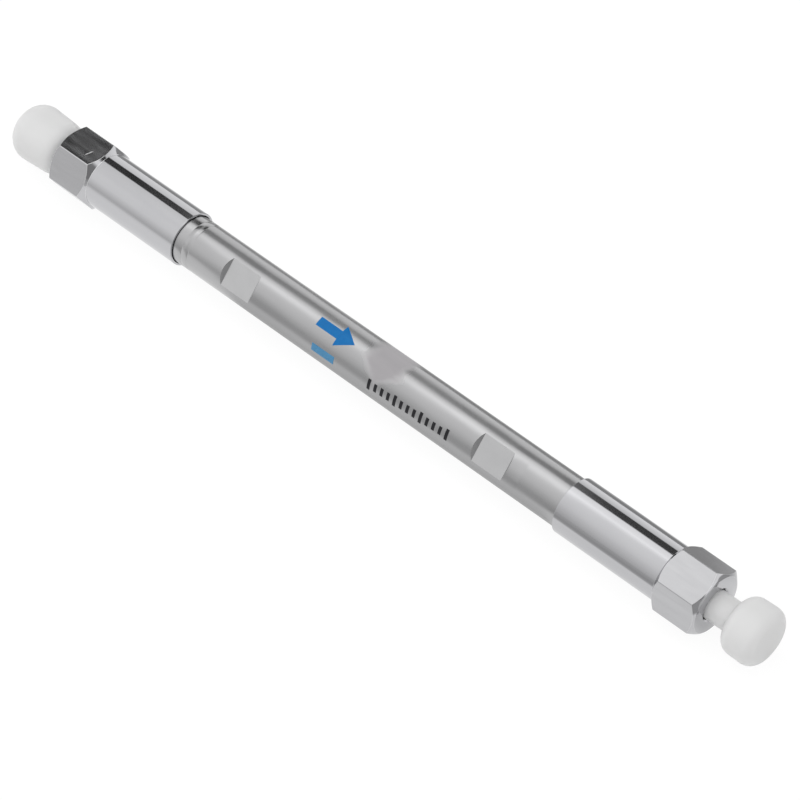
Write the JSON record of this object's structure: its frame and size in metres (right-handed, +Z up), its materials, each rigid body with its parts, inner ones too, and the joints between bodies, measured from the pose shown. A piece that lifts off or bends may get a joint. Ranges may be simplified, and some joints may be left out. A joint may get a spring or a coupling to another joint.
{
  "type": "liquid chromatography column",
  "caption": "Slim stainless steel tube packed with separation medium, with a hexagon end nut and a screw-in white plastic transport plug at each end.",
  "frame": {"origin": "on the surface the column lies on, below the middle of its overall length", "axes": "+X along the column from the inlet plug to the outlet plug, +Z up, +Y to the left of the flow"},
  "size_m": [0.1478, 0.0112, 0.0111],
  "materials": {
    "tube_steel": "satin drawn stainless steel",
    "nut_steel": "bright turned and polished stainless steel",
    "sintered_steel": "sintered stainless steel",
    "seal_polymer": "machined beige polymer",
    "plug_plastic": "moulded translucent white plastic",
    "packed_silica": "packed fine white powder"
  },
  "bodies": {
    "column": {"column_tube": "tube_steel", "packed_bed": "packed_silica"},
    "inlet_filter": {"inlet_frit": "sintered_steel", "inlet_frit_ring": "seal_polymer"},
    "inlet_fitting": {"inlet_end_nut": "nut_steel"},
    "inlet_stopper": {"inlet_plug": "plug_plastic"},
    "outlet_filter": {"outlet_frit": "sintered_steel", "outlet_frit_ring": "seal_polymer"},
    "outlet_fitting": {"outlet_end_nut": "nut_steel"},
    "outlet_stopper": {"outlet_plug": "plug_plastic"}
  },
  "joints": [
    {"name": "inlet_nut_travel", "type": "slide", "parent": "column", "child": "inlet_filter", "axis": [-1, 0, 0], "range_m": [0, 0.0083]},
    {"name": "inlet_nut_turn", "type": "hinge", "parent": "inlet_filter", "child": "inlet_fitting", "pos_m": [-0.05984, 0, 0.00555], "axis": [-1, 0, 0], "range_deg": [0, 3960]},
    {"name": "inlet_plug_pull", "type": "slide", "parent": "inlet_fitting", "child": "inlet_stopper", "axis": [-1, 0, 0], "range_m": [0, 0.0099]},
    {"name": "outlet_nut_travel", "type": "slide", "parent": "column", "child": "outlet_filter", "axis": [1, 0, 0], "range_m": [0, 0.0083]},
    {"name": "outlet_nut_turn", "type": "hinge", "parent": "outlet_filter", "child": "outlet_fitting", "pos_m": [0.06059, 0, 0.00555], "axis": [1, 0, 0], "range_deg": [0, 3960]},
    {"name": "outlet_plug_pull", "type": "slide", "parent": "outlet_fitting", "child": "outlet_stopper", "axis": [1, 0, 0], "range_m": [0, 0.0099]}
  ],
  "couplings": [
    {"joint": "inlet_nut_travel", "follows": "inlet_nut_turn", "m_per_rad": 0.00011937},
    {"joint": "outlet_nut_travel", "follows": "outlet_nut_turn", "m_per_rad": 0.00011937}
  ]
}
